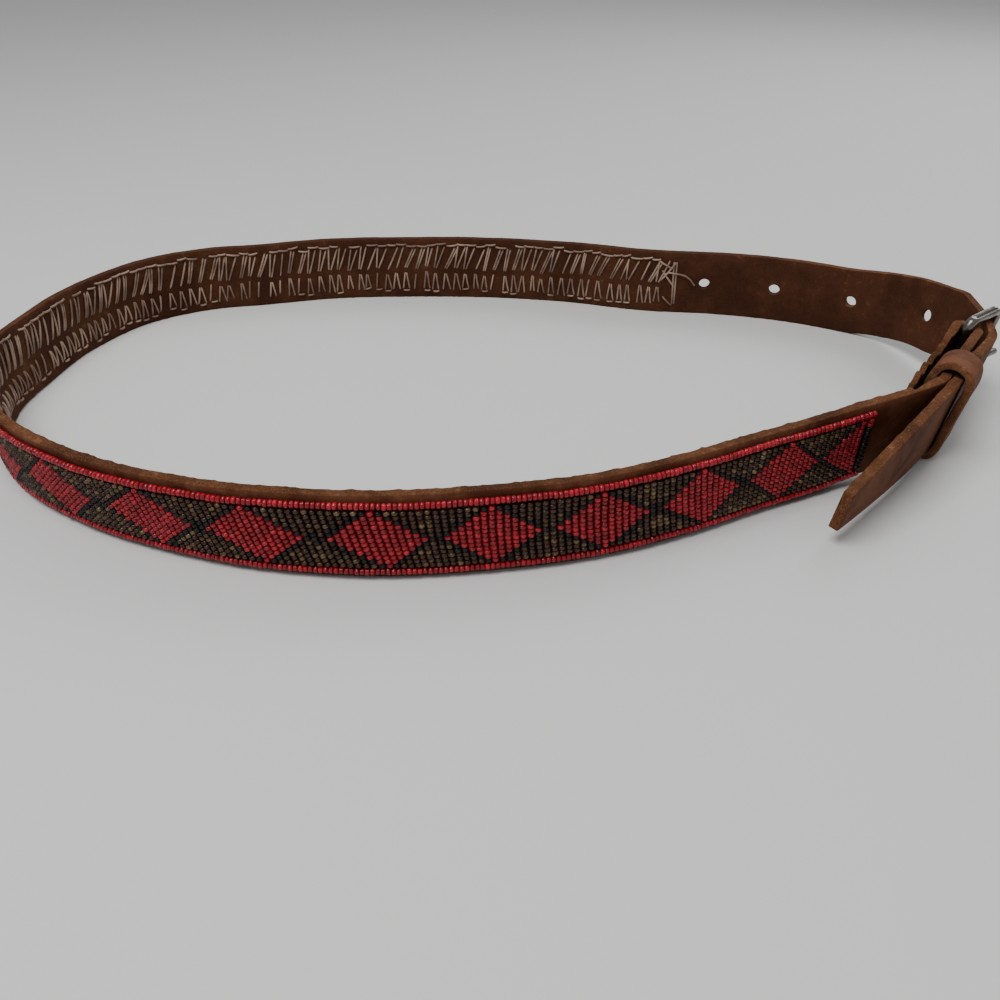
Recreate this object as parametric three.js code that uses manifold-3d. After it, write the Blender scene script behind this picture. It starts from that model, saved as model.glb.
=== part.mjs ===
import * as THREE from 'three';
import { mergeVertices } from 'three/addons/utils/BufferGeometryUtils.js';
import Module from 'manifold-3d';

// A leather belt with a panel of woven seed beads, fastened and standing on its lower edge as a
// closed loop. Millimetres, +Z up, the origin on the ground under the middle of the belt's box.
// The far side of the loop is +Y, the buckle is at +X, and the bead panel faces outward.

// Strap
const STRAP_WIDTH = 25.4;
const STRAP_THICKNESS = 3;
const STRAP_EDGE_CUT = 0.4;
const LOOP_ACROSS = 340;
const LOOP_DEEP = 201;
const LOOP_STEP = 5;

// Buckle's seat: where its heel bar stands in the loop, how far it is turned and leans outward
const HEEL_ACROSS_SHARE = 0.4437;
const HEEL_DEEP_SHARE = -0.018;
const BUCKLE_TURN = 55;
const BUCKLE_LEAN = 10;
const LEAN_EASE_LENGTH = 52;

// Outward lean of the loop's left part, and where along the loop it starts and ends
const LEFT_LEAN = 7.5;
const LEFT_LEAN_FROM = 170;
const LEFT_LEAN_TO = 440;
const LEFT_LEAN_EASE = 90;

// Buckle frame and tongue
const HEEL_BAR_DIAMETER = 3.5;
const FRAME_LENGTH = 19.5;
const FRAME_SIDE_CLEARANCE = 0.8;
const FRAME_BAR_WIDTH = 2.6;
const FRAME_BAR_DEPTH = 3.4;
const FRAME_GROOVE_DEPTH = 0.45;
const FRAME_CORNER_RADIUS = 3.2;
const FRAME_CORNER_STEPS = 5;
const FRAME_HEEL_REACH = 1.92;
const FRAME_TILT = 14;
const TONGUE_DIAMETER = 2.4;
const TONGUE_OVERHANG = 2.2;
const TONGUE_RING_GAP_ANGLE = 50;
const TONGUE_RING_STEPS = 16;
const TONGUE_SIDES = 10;

// Fold-back flap that holds the buckle, and the free tip
const FLAP_LENGTH = 46;
const FOLD_SLOT_CLEARANCE = 0.5;
const FOLD_STEPS = 12;
const TIP_FREE_LENGTH = 62;
const TIP_TAPER_LENGTH = 60;
const TIP_END_WIDTH = 12.5;
const TIP_TAPER_POWER = 1.6;
const TIP_SET = -7.5;
const TIP_DROP = 6.5;

// The strap's way through the buckle: how it comes in behind the outer bar, and its slack over
// the fold
const CROSSING_LEAD_ALONG = 9;
const CROSSING_LEAD_INWARD = 7;
const CROSSING_MIDDLE_SHARE = 0.6;
const CROSSING_STEP = 2.5;
const FOLD_SLACK = 1.2;
const STRAP_BAR_GAP = 1.6;

// Keeper loop
const KEEPER_BAND = 11.5;
const KEEPER_THICKNESS = 2.5;
const KEEPER_EDGE_CUT = 0.4;
const KEEPER_DISTANCE = 33;
const KEEPER_SLACK = 1.4;
const KEEPER_RISE = 1.4;
const KEEPER_STEPS = 36;
const STRAIGHT_PAST_KEEPER = 2;

// Punched holes
const HOLE_DIAMETER = 4.6;
const HOLE_PITCH = 30;
const HOLE_SIDES = 16;

// Bead panel
const BEAD_DIAMETER = 2.1;
const BORDER_ROW_WIDTH = 2.1;
const PANEL_MARGIN = 1.5;
const PANEL_START = 69;
const PANEL_LENGTH = 628.4;
const BEAD_RELIEF_CUT = 0.5;
const BEAD_FOOT_CUT = 0.1;

const FIT_GAP = 0.3;
const GROUND_CLEARANCE = 0.2;
const MERGE_DISTANCE = 1e-5;
const LOOP_LENGTH_SAMPLES = 2000;
const degrees = THREE.MathUtils.degToRad;

// Centreline of the loop seen from above, from the buckle along the near side, round the left
// end and back along the far side, as shares of the loop's size across and deep.
const LOOP_ROUTE = [
  { across: 0.3467, deep: -0.2323 },
  { across: 0.2958, deep: -0.267 },
  { across: 0.2216, deep: -0.3256 },
  { across: 0.1443, deep: -0.3945 },
  { across: 0.0715, deep: -0.4432 },
  { across: -0.0133, deep: -0.4731 },
  { across: -0.1, deep: -0.4843 },
  { across: -0.1953, deep: -0.4669 },
  { across: -0.2705, deep: -0.4287 },
  { across: -0.3365, deep: -0.377 },
  { across: -0.4114, deep: -0.2834 },
  { across: -0.4636, deep: -0.1608 },
  { across: -0.4883, deep: -0.0452 },
  { across: -0.481, deep: 0.095 },
  { across: -0.465, deep: 0.214 },
  { across: -0.421, deep: 0.348 },
  { across: -0.357, deep: 0.422 },
  { across: -0.288, deep: 0.452 },
  { across: -0.203, deep: 0.487 },
  { across: -0.1, deep: 0.497 },
  { across: -0.012, deep: 0.492 },
  { across: 0.082, deep: 0.467 },
  { across: 0.176, deep: 0.42 },
  { across: 0.262, deep: 0.4 },
  { across: 0.35, deep: 0.356 },
  { across: 0.426, deep: 0.276 },
  { across: 0.4515, deep: 0.209 },
  { across: 0.4647, deep: 0.142 },
];

// Spacing of the open holes, counted from the hole in use, as shares of the hole pitch.
const OPEN_HOLES = [{ spacing: 1.17 }, { spacing: 1.15 }, { spacing: 1.01 }, { spacing: 0.93 }];

// Way of the free tip after the keeper, as shares of its free length, its set and its drop.
const TIP_ROUTE = [
  { along: 0.25, out: 0.14, down: 0.1 },
  { along: 0.5, out: 0.38, down: 0.34 },
  { along: 0.75, out: 0.68, down: 0.67 },
  { along: 1, out: 1, down: 1 },
];

// Section of the frame's outer bar and sides: side across the bar's depth, rise away from the
// frame's middle, as shares of half its size, and where a groove is cut in.
const FRAME_SECTION = [
  { side: -1, rise: 0.1, groove: 0 },
  { side: -0.72, rise: 0.9, groove: 0 },
  { side: -0.34, rise: 1, groove: 1 },
  { side: 0, rise: 1, groove: 0 },
  { side: 0.34, rise: 1, groove: 1 },
  { side: 0.72, rise: 0.9, groove: 0 },
  { side: 1, rise: 0.1, groove: 0 },
  { side: 0.72, rise: -0.75, groove: 0 },
  { side: 0, rise: -1, groove: 0 },
  { side: -0.72, rise: -0.75, groove: 0 },
];

// Outline of the keeper's band, seen along the strap, as shares of its room out and up.
const KEEPER_OUTLINE = [
  { out: 0, up: -0.36 },
  { out: 0, up: 0 },
  { out: 0, up: 0.34 },
  { out: 0.12, up: 0.475 },
  { out: 0.45, up: 0.53 },
  { out: 0.85, up: 0.48 },
  { out: 1.02, up: 0.36 },
  { out: 1.03, up: 0.1 },
  { out: 0.98, up: -0.2 },
  { out: 0.93, up: -0.4 },
  { out: 0.78, up: -0.495 },
  { out: 0.45, up: -0.505 },
  { out: 0.12, up: -0.48 },
];

// Layers round the heel bar, measured outward from its axis
const heelRadius = HEEL_BAR_DIAMETER / 2;
const layerOut = heelRadius + FIT_GAP + STRAP_THICKNESS / 2;
const tipOut = layerOut + STRAP_THICKNESS + FIT_GAP;
const keeperRoomOut = tipOut + STRAP_THICKNESS / 2 + FIT_GAP + KEEPER_THICKNESS / 2 + KEEPER_SLACK;
const keeperRoomUp = STRAP_WIDTH + KEEPER_THICKNESS + 2 * FIT_GAP + KEEPER_RISE;
const frameHalfHeight = STRAP_WIDTH / 2 + FRAME_SIDE_CLEARANCE + FRAME_BAR_WIDTH / 2;

const wasm = await Module();
wasm.setup();

function toSolid(geometry) {
  const bare = geometry.clone();
  bare.deleteAttribute('normal');
  bare.deleteAttribute('uv');
  const merged = mergeVertices(bare, MERGE_DISTANCE);
  const vertProperties = new Float32Array(merged.attributes.position.array);
  const triVerts = new Uint32Array(merged.index.array);
  return new wasm.Manifold(new wasm.Mesh({ numProp: 3, vertProperties, triVerts }));
}

function toGeometry(solid) {
  const mesh = solid.getMesh();
  const geometry = new THREE.BufferGeometry();
  const positions = new Float32Array(mesh.vertProperties);
  geometry.setAttribute('position', new THREE.BufferAttribute(positions, 3));
  geometry.setIndex(new THREE.BufferAttribute(new Uint32Array(mesh.triVerts), 1));
  return geometry;
}

// A skin over rings of points. An open run is closed by a fan over each end, and a closed one
// joins its last ring to its first. Rings turn anticlockwise about the way they advance.
function skin(rings, closed) {
  const around = rings[0].length;
  const positions = rings.flat().flatMap((point) => [point.x, point.y, point.z]);
  const index = [];
  const steps = closed ? rings.length : rings.length - 1;
  for (let i = 0; i < steps; i += 1) {
    const here = i * around;
    const next = ((i + 1) % rings.length) * around;
    for (let j = 0; j < around; j += 1) {
      const k = (j + 1) % around;
      index.push(here + j, here + k, next + k, here + j, next + k, next + j);
    }
  }
  if (!closed) {
    const last = (rings.length - 1) * around;
    for (let j = 1; j < around - 1; j += 1) {
      index.push(0, j + 1, j);
      index.push(last, last + j, last + j + 1);
    }
  }
  const geometry = new THREE.BufferGeometry();
  geometry.setAttribute('position', new THREE.Float32BufferAttribute(positions, 3));
  geometry.setIndex(index);
  return geometry;
}

// The buckle's own frame: x along the strap from the heel bar to the tip, y outward, z up its
// width. It leans outward with the strap, and is lifted until its lowest piece meets the ground.
const keeperLine = new THREE.CatmullRomCurve3(
  KEEPER_OUTLINE.map((row) => new THREE.Vector3(row.out * keeperRoomOut, row.up * keeperRoomUp, 0)),
  true,
);
const lean = degrees(BUCKLE_LEAN);
const keeperReach = keeperLine.getSpacedPoints(KEEPER_STEPS).map(
  (point) => point.y * Math.cos(lean) - point.x * Math.sin(lean) - KEEPER_THICKNESS / 2,
);
const frameReach = -(frameHalfHeight + FRAME_BAR_WIDTH / 2) * Math.cos(lean)
  - (FRAME_BAR_DEPTH / 2) * Math.sin(lean);
const buckleSeat = new THREE.Group();
buckleSeat.position.set(
  HEEL_ACROSS_SHARE * LOOP_ACROSS,
  HEEL_DEEP_SHARE * LOOP_DEEP,
  GROUND_CLEARANCE - Math.min(frameReach, ...keeperReach),
);
buckleSeat.rotation.set(-lean, 0, degrees(180 + BUCKLE_TURN), 'ZYX');
buckleSeat.updateMatrixWorld(true);
const seatUp = new THREE.Vector3(0, 0, 1).transformDirection(buckleSeat.matrixWorld);

function fromSeat(along, out, up = 0) {
  return new THREE.Vector3(along, out, up).applyMatrix4(buckleSeat.matrixWorld);
}

// Points along the strap's centreline with the direction of its width at each.
function seatStretch(points) {
  return points.map((point) => ({
    at: fromSeat(point.along, point.out, point.height ?? 0), up: seatUp.clone(),
  }));
}

function curveThrough(points, step) {
  const curve = new THREE.CatmullRomCurve3(
    points.map((point) => new THREE.Vector3(point.along, point.out, point.height ?? 0)),
  );
  const count = Math.max(2, Math.round(curve.getLength() / step));
  return curve.getSpacedPoints(count).map(
    (point) => ({ along: point.x, out: point.y, height: point.z }),
  );
}

// Flap, on the inner side, from its end to the heel bar
const keeperNear = KEEPER_DISTANCE - KEEPER_BAND / 2;
const keeperFar = KEEPER_DISTANCE + KEEPER_BAND / 2;
const flapStretch = [FLAP_LENGTH, keeperFar, keeperNear, keeperNear / 2].map(
  (along) => ({ along, out: -layerOut }),
);

// Fold round the heel bar
const foldStretch = Array.from({ length: FOLD_STEPS + 1 }, (_, i) => {
  const angle = (Math.PI * i) / FOLD_STEPS;
  return { along: -layerOut * Math.sin(angle), out: -layerOut * Math.cos(angle) };
});

// Near side, straight past the keeper
const nearStraight = [
  { along: keeperNear / 2, out: layerOut },
  { along: keeperNear, out: layerOut },
  { along: keeperFar + STRAIGHT_PAST_KEEPER, out: layerOut },
];

// Through the frame from the inner to the outer side, over the fold and under the keeper
const barRadius = FRAME_BAR_DEPTH / 2;
const frameTilt = degrees(FRAME_TILT);
const outerBar = {
  along: -FRAME_LENGTH * Math.cos(frameTilt), out: FRAME_LENGTH * Math.sin(frameTilt),
};
const behindBar = outerBar.out - barRadius - FIT_GAP - STRAP_THICKNESS / 2 - STRAP_BAR_GAP;
const crossingWay = curveThrough([
  { along: outerBar.along - CROSSING_LEAD_ALONG, out: behindBar - CROSSING_LEAD_INWARD },
  { along: outerBar.along, out: behindBar },
  {
    along: outerBar.along * CROSSING_MIDDLE_SHARE,
    out: THREE.MathUtils.lerp(behindBar, tipOut, CROSSING_MIDDLE_SHARE),
  },
  { along: -layerOut, out: tipOut + FOLD_SLACK / 2 },
  { along: layerOut, out: tipOut + FOLD_SLACK },
  { along: keeperNear / 2, out: tipOut + FOLD_SLACK / 2 },
  { along: keeperNear, out: tipOut },
], CROSSING_STEP);
const tipStart = { along: keeperFar, out: tipOut };
const tipWay = curveThrough([
  { along: keeperNear, out: tipOut },
  tipStart,
  ...TIP_ROUTE.map((row) => ({
    along: tipStart.along + row.along * TIP_FREE_LENGTH,
    out: tipStart.out + row.out * TIP_SET,
    height: -row.down * TIP_DROP,
  })),
], LOOP_STEP);

// The loop between those two ends: it stands upright but for its left part, and eases into the
// buckle's lean
const restHeight = (up, out) => (STRAP_WIDTH / 2) * up.z + (STRAP_THICKNESS / 2) * Math.abs(out.z);
const upright = new THREE.Vector3(0, 0, 1);
function loopStations() {
  const nearEnd = nearStraight.at(-1);
  const farEnd = crossingWay[0];
  const beforeNear = fromSeat(nearEnd.along - LOOP_STEP, nearEnd.out);
  const afterFar = fromSeat(crossingWay[1].along, crossingWay[1].out);
  const nearPoint = fromSeat(nearEnd.along, nearEnd.out);
  const farPoint = fromSeat(farEnd.along, farEnd.out);
  const plan = [
    beforeNear, nearPoint,
    ...LOOP_ROUTE.map((row) => new THREE.Vector3(row.across * LOOP_ACROSS, row.deep * LOOP_DEEP, 0)),
    farPoint, afterFar,
  ].map((point) => new THREE.Vector3(point.x, point.y, 0));
  const curve = new THREE.CatmullRomCurve3(plan);
  curve.arcLengthDivisions = LOOP_LENGTH_SAMPLES;
  const length = curve.getLength();
  const lead = plan[0].distanceTo(plan[1]);
  const trail = plan.at(-1).distanceTo(plan.at(-2));
  const count = Math.round((length - lead - trail) / LOOP_STEP);
  const stations = [];
  for (let i = 1; i < count; i += 1) {
    const run = ((length - lead - trail) * i) / count;
    const share = (lead + run) / length;
    const at = curve.getPointAt(share);
    const way = curve.getTangentAt(share);
    const fromNear = 1 - THREE.MathUtils.smoothstep(run, 0, LEAN_EASE_LENGTH);
    const left = length - lead - trail - run;
    const fromFar = 1 - THREE.MathUtils.smoothstep(left, 0, LEAN_EASE_LENGTH);
    const ease = fromNear + fromFar;
    const leanIn = THREE.MathUtils.smoothstep(run, LEFT_LEAN_FROM, LEFT_LEAN_FROM + LEFT_LEAN_EASE);
    const leanOut = THREE.MathUtils.smoothstep(run, LEFT_LEAN_TO - LEFT_LEAN_EASE, LEFT_LEAN_TO);
    const leftLean = degrees(LEFT_LEAN) * leanIn * (1 - leanOut);
    const flatOut = upright.clone().cross(way).normalize();
    const up = upright.clone().addScaledVector(flatOut, Math.tan(leftLean))
      .normalize().lerp(seatUp, ease).normalize();
    const out = up.clone().cross(way).normalize();
    const seatOut = seatUp.clone().cross(way).normalize();
    const anchor = fromNear > 0 ? nearPoint : farPoint;
    at.z = restHeight(up, out) + ease * (anchor.z - restHeight(seatUp, seatOut));
    stations.push({ at, up });
  }
  return stations;
}

// The whole strap as one run of stations, each with its running length, way and outward side
function strapStations() {
  const inner = seatStretch([...flapStretch, ...foldStretch, ...nearStraight]);
  const outer = seatStretch([...crossingWay, ...tipWay.slice(1)]);
  const run = [...inner, ...loopStations(), ...outer];
  let length = 0;
  run.forEach((station, i) => {
    const before = run[Math.max(0, i - 1)].at;
    const after = run[Math.min(run.length - 1, i + 1)].at;
    const way = after.clone().sub(before).normalize();
    length += station.at.distanceTo(before);
    station.length = length;
    station.way = way;
    station.out = station.up.clone().cross(way).normalize();
  });
  return run;
}

const stations = strapStations();
const strapLength = stations.at(-1).length;
const heelLength = stations[flapStretch.length + FOLD_STEPS].length;

function stationAt(length) {
  const next = stations.findIndex((station) => station.length >= length);
  const a = stations[Math.max(0, next - 1)];
  const b = stations[next];
  const share = next < 1 ? 0 : (length - a.length) / (b.length - a.length);
  return {
    at: a.at.clone().lerp(b.at, share),
    up: a.up.clone().lerp(b.up, share).normalize(),
    out: a.out.clone().lerp(b.out, share).normalize(),
    way: a.way.clone().lerp(b.way, share).normalize(),
    length,
  };
}

function tipWidth(length) {
  const taper = THREE.MathUtils.clamp((length - strapLength + TIP_TAPER_LENGTH) / TIP_TAPER_LENGTH, 0, 1);
  return STRAP_WIDTH - (STRAP_WIDTH - TIP_END_WIDTH) * taper ** TIP_TAPER_POWER;
}

// A ring of points round one section of the leather or of a bead row, its long edges cut back
function bandRing(station, outLow, outHigh, upLow, upHigh, cutLow, cutHigh) {
  const corner = (out, up) => station.at.clone()
    .addScaledVector(station.out, out).addScaledVector(station.up, up);
  return [
    corner(outHigh - cutHigh, upLow), corner(outHigh, upLow + cutHigh),
    corner(outHigh, upHigh - cutHigh), corner(outHigh - cutHigh, upHigh),
    corner(outLow + cutLow, upHigh), corner(outLow, upHigh - cutLow),
    corner(outLow, upLow + cutLow), corner(outLow + cutLow, upLow),
  ];
}

function leatherSolid() {
  const half = STRAP_THICKNESS / 2;
  const rings = stations.map((station) => {
    const width = tipWidth(station.length);
    return bandRing(station, -half, half, -width / 2, width / 2, STRAP_EDGE_CUT, STRAP_EDGE_CUT);
  });
  return toSolid(skin(rings, false));
}

function punch(station) {
  const radius = HOLE_DIAMETER / 2;
  const cutter = new THREE.CylinderGeometry(radius, radius, 2 * STRAP_THICKNESS, HOLE_SIDES);
  const turn = new THREE.Quaternion().setFromUnitVectors(new THREE.Vector3(0, 1, 0), station.out);
  cutter.applyQuaternion(turn).translate(station.at.x, station.at.y, station.at.z);
  return toSolid(cutter);
}

// The tongue: a ring round the heel bar and a rod that lies on the frame's outer bar
const tongueRadius = TONGUE_DIAMETER / 2;
const ringRadius = heelRadius + FIT_GAP + tongueRadius;
const tongueReach = FRAME_LENGTH + barRadius + TONGUE_OVERHANG;
const tongueRise = frameTilt + Math.atan((barRadius + 2 * FIT_GAP + tongueRadius) / FRAME_LENGTH);
const tongueEnd = {
  along: -tongueReach * Math.cos(tongueRise), out: tongueReach * Math.sin(tongueRise),
};
const tongueTilt = Math.asin(ringRadius / Math.hypot(tongueEnd.along, tongueEnd.out))
  - Math.atan2(tongueEnd.out, -tongueEnd.along);

function tongueWay() {
  const points = [];
  const start = degrees(TONGUE_RING_GAP_ANGLE);
  const end = 2 * Math.PI + tongueTilt;
  for (let i = 0; i <= TONGUE_RING_STEPS; i += 1) {
    const angle = start + ((end - start) * i) / TONGUE_RING_STEPS;
    points.push({ along: -ringRadius * Math.sin(angle), out: ringRadius * Math.cos(angle) });
  }
  return points;
}

function tube(points, radius) {
  const rings = points.map((point, i) => {
    const before = points[Math.max(0, i - 1)];
    const after = points[Math.min(points.length - 1, i + 1)];
    const way = new THREE.Vector2(after.along - before.along, after.out - before.out).normalize();
    return Array.from({ length: TONGUE_SIDES }, (_, j) => {
      const angle = (2 * Math.PI * j) / TONGUE_SIDES;
      const side = radius * Math.cos(angle);
      return new THREE.Vector3(
        point.along - way.y * side, point.out + way.x * side, radius * Math.sin(angle),
      );
    });
  });
  return skin(rings, false);
}

const ringWay = tongueWay();
const tongueGeometry = tube([...ringWay, tongueEnd], tongueRadius);
const tongueRoom = toSolid(
  tube([ringWay.at(-1), tongueEnd], tongueRadius + FIT_GAP).applyMatrix4(buckleSeat.matrixWorld),
);

// Where the strap crosses the tongue, measured along the strap
const crossingStations = stations.slice(-(crossingWay.length + tipWay.length - 1));
function tongueOffset(station) {
  const local = station.at.clone().applyMatrix4(buckleSeat.matrixWorld.clone().invert());
  const share = local.x / tongueEnd.along;
  return local.y - THREE.MathUtils.lerp(ringWay.at(-1).out, tongueEnd.out, share);
}
const crossingIndex = crossingStations.findIndex((station) => tongueOffset(station) > 0);
const wornHole = (
  crossingStations[crossingIndex].length + crossingStations[crossingIndex - 1].length
) / 2;

function strapGeometry() {
  let leather = leatherSolid();
  leather = leather.subtract(punch(stationAt(wornHole))).subtract(tongueRoom);
  let place = wornHole;
  for (const hole of OPEN_HOLES) {
    place -= hole.spacing * HOLE_PITCH;
    leather = leather.subtract(punch(stationAt(place)));
  }
  const slotHeight = TONGUE_DIAMETER + 2 * FOLD_SLOT_CLEARANCE;
  const slotReach = ringRadius + tongueRadius + FOLD_SLOT_CLEARANCE;
  const slot = new THREE.BoxGeometry(2 * slotReach, 2 * slotReach, slotHeight);
  return toGeometry(leather.subtract(toSolid(slot.applyMatrix4(buckleSeat.matrixWorld))));
}

// Buckle frame: one bar bent to a rounded rectangle, ribbed along its outer side except at the heel
function frameGeometry() {
  const outline = [];
  const radius = FRAME_CORNER_RADIUS;
  const corners = [
    { along: 0, up: frameHalfHeight, from: 0 },
    { along: -FRAME_LENGTH, up: frameHalfHeight, from: 90 },
    { along: -FRAME_LENGTH, up: -frameHalfHeight, from: 180 },
    { along: 0, up: -frameHalfHeight, from: 270 },
  ];
  for (const corner of corners) {
    const centre = {
      along: corner.along - Math.sign(corner.along + FRAME_LENGTH / 2) * radius,
      up: corner.up - Math.sign(corner.up) * radius,
    };
    for (let i = 0; i <= FRAME_CORNER_STEPS; i += 1) {
      const angle = degrees(corner.from + (90 * i) / FRAME_CORNER_STEPS);
      outline.push({
        along: centre.along + radius * Math.cos(angle),
        up: centre.up + radius * Math.sin(angle),
        way: angle,
      });
    }
  }
  const rings = outline.map((point) => {
    const heel = point.along > -FRAME_HEEL_REACH;
    const half = heel ? heelRadius : FRAME_BAR_DEPTH / 2;
    const reach = heel ? heelRadius : FRAME_BAR_WIDTH / 2;
    const grooveDepth = heel ? 0 : FRAME_GROOVE_DEPTH;
    return FRAME_SECTION.map((row) => {
      const rise = row.rise * reach - row.groove * grooveDepth;
      return new THREE.Vector3(
        point.along + rise * Math.cos(point.way),
        row.side * half,
        point.up + rise * Math.sin(point.way),
      );
    });
  });
  return skin(rings, true);
}

// Keeper: a closed band of leather round the near strap and the tip
function keeperGeometry() {
  const line = keeperLine.getSpacedPoints(KEEPER_STEPS).slice(0, -1);
  const half = KEEPER_THICKNESS / 2;
  const band = KEEPER_BAND / 2;
  const cut = KEEPER_EDGE_CUT;
  const rings = line.map((point, i) => {
    const before = line.at(i - 1);
    const after = line[(i + 1) % KEEPER_STEPS];
    const way = after.clone().sub(before).normalize();
    const corner = (thick, along) => new THREE.Vector3(
      KEEPER_DISTANCE + along, point.x - way.y * thick, point.y + way.x * thick,
    );
    return [
      corner(half, cut - band), corner(half, band - cut), corner(half - cut, band),
      corner(cut - half, band), corner(-half, band - cut), corner(-half, cut - band),
      corner(cut - half, -band), corner(half - cut, -band),
    ];
  });
  return skin(rings, true);
}

// Bead rows lie on the strap's outer face between two lengths and two heights
function beadRow(from, to, upLow, upHigh) {
  const low = STRAP_THICKNESS / 2 + FIT_GAP;
  const high = STRAP_THICKNESS / 2 + BEAD_DIAMETER;
  const count = Math.max(1, Math.round((to - from) / LOOP_STEP));
  const rings = [];
  for (let i = 0; i <= count; i += 1) {
    const station = stationAt(from + ((to - from) * i) / count);
    rings.push(bandRing(station, low, high, upLow, upHigh, BEAD_FOOT_CUT, BEAD_RELIEF_CUT));
  }
  return skin(rings, false);
}

const panelFrom = heelLength + PANEL_START;
const panelTo = panelFrom + PANEL_LENGTH;
const panelTop = STRAP_WIDTH / 2 - PANEL_MARGIN;
const fieldTop = panelTop - BORDER_ROW_WIDTH - FIT_GAP;
const fieldFrom = panelFrom + BORDER_ROW_WIDTH + FIT_GAP;
const fieldTo = panelTo - BORDER_ROW_WIDTH - FIT_GAP;

const leatherBrown = new THREE.MeshStandardMaterial({ color: 0x4e2f1e, roughness: 0.75 });
const keeperBrown = new THREE.MeshStandardMaterial({ color: 0x6a3a22, roughness: 0.7 });
const nickel = new THREE.MeshStandardMaterial({ color: 0x9a948c, roughness: 0.3, metalness: 1 });
const beadRed = new THREE.MeshStandardMaterial({ color: 0xa01c28, roughness: 0.25 });
const beadBronze = new THREE.MeshStandardMaterial({ color: 0x4a3a24, roughness: 0.25 });

function named(name, geometry, material) {
  const mesh = new THREE.Mesh(geometry, material);
  mesh.name = name;
  return mesh;
}

const belt = new THREE.Group();
belt.add(named('strap', strapGeometry(), leatherBrown));
const field = beadRow(fieldFrom, fieldTo, -fieldTop, fieldTop);
const upperRow = beadRow(panelFrom, panelTo, panelTop - BORDER_ROW_WIDTH, panelTop);
const lowerRow = beadRow(panelFrom, panelTo, -panelTop, BORDER_ROW_WIDTH - panelTop);
const buckleEndRow = beadRow(panelFrom, panelFrom + BORDER_ROW_WIDTH, -fieldTop, fieldTop);
const holeEndRow = beadRow(panelTo - BORDER_ROW_WIDTH, panelTo, -fieldTop, fieldTop);
belt.add(named('bead_field', field, beadBronze));
belt.add(named('bead_row_upper', upperRow, beadRed));
belt.add(named('bead_row_lower', lowerRow, beadRed.clone()));
belt.add(named('bead_row_buckle_end', buckleEndRow, beadRed.clone()));
belt.add(named('bead_row_hole_end', holeEndRow, beadRed.clone()));
const buckleFrame = named('buckle_frame', frameGeometry(), nickel);
buckleFrame.rotation.z = -frameTilt;
buckleSeat.add(buckleFrame);
buckleSeat.add(named('buckle_tongue', tongueGeometry, nickel.clone()));
buckleSeat.add(named('keeper', keeperGeometry(), keeperBrown));
belt.add(buckleSeat);

// The origin is on the ground under the middle of the belt's box
const extent = new THREE.Box3().setFromObject(belt, true);
const middle = extent.getCenter(new THREE.Vector3());
belt.position.set(-middle.x, -middle.y, -extent.min.z);

export default belt;
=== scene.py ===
import math

import bpy
import numpy as np
from mathutils import Matrix, Vector, kdtree, noise


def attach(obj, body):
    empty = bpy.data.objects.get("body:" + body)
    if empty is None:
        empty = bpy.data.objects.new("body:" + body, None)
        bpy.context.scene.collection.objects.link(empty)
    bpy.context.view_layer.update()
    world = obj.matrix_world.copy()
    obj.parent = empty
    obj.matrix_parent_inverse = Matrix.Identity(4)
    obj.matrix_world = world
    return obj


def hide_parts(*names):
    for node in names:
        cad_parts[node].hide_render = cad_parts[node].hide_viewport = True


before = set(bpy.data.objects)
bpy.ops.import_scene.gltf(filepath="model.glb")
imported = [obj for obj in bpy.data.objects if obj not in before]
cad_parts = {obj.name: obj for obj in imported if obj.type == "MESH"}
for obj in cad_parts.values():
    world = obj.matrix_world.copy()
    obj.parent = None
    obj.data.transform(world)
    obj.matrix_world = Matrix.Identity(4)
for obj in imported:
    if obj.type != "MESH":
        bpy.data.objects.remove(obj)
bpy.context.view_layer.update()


# Camera
# The belt is seen from its beaded near side and from above, close to, so that the loop's far
# side shows its inner face over the near edge.
bpy.ops.object.camera_add(location=(-0.0001, -0.3103, 0.1606), rotation=(math.radians(57), 0, 0))
camera = bpy.context.object
camera.data.lens = 36
camera.data.sensor_width = 36
camera.data.clip_start = 0.01
bpy.context.scene.camera = camera


# Floor and light
# A plain pale floor, an even pale sky, a large soft lamp above the near side and a weaker one
# from the right behind the belt.
bpy.ops.object.select_all(action="DESELECT")
bpy.ops.mesh.primitive_plane_add(size=6, location=(0, 0, 0))
floor = bpy.context.object
floor.name = "floor"
floor_paint = bpy.data.materials.new("floor_paint")
floor_paint.use_nodes = True
floor_shader = floor_paint.node_tree.nodes["Principled BSDF"]
floor_shader.inputs["Base Color"].default_value = (0.605, 0.600, 0.590, 1)
floor_shader.inputs["Roughness"].default_value = 0.75
floor.data.materials.append(floor_paint)

sky = bpy.context.scene.world or bpy.data.worlds.new("sky")
bpy.context.scene.world = sky
sky.use_nodes = True
sky_light = sky.node_tree.nodes["Background"]
sky_light.inputs["Color"].default_value = (0.97, 0.985, 1.0, 1)
sky_light.inputs["Strength"].default_value = 0.42
for lamp_name, lamp_at, lamp_size, lamp_power in (
    ("lamp_above", (-0.25, -0.30, 0.85), 0.55, 8.0),
    ("lamp_behind", (0.55, 0.55, 0.60), 0.5, 3.0),
):
    bpy.ops.object.light_add(type="AREA", location=lamp_at)
    lamp = bpy.context.object
    lamp.name = lamp_name
    lamp.rotation_euler = (-Vector(lamp_at)).to_track_quat("-Z", "Y").to_euler()
    lamp.data.size = lamp_size
    lamp.data.energy = lamp_power


# Strap
# One strip of thick brown leather standing on its edge: satin brown grain outside, rough flesh
# side inside, pale fibrous cut edges. One end is folded back round the buckle's heel bar, the
# other is cut to a taper, and a row of holes is punched before it.
strap_width = 0.0254
strap_thickness = 0.003
loop_across, loop_deep = 0.340, 0.201
loop_middle = np.array([0.0001709, 0.0012778])
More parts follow.
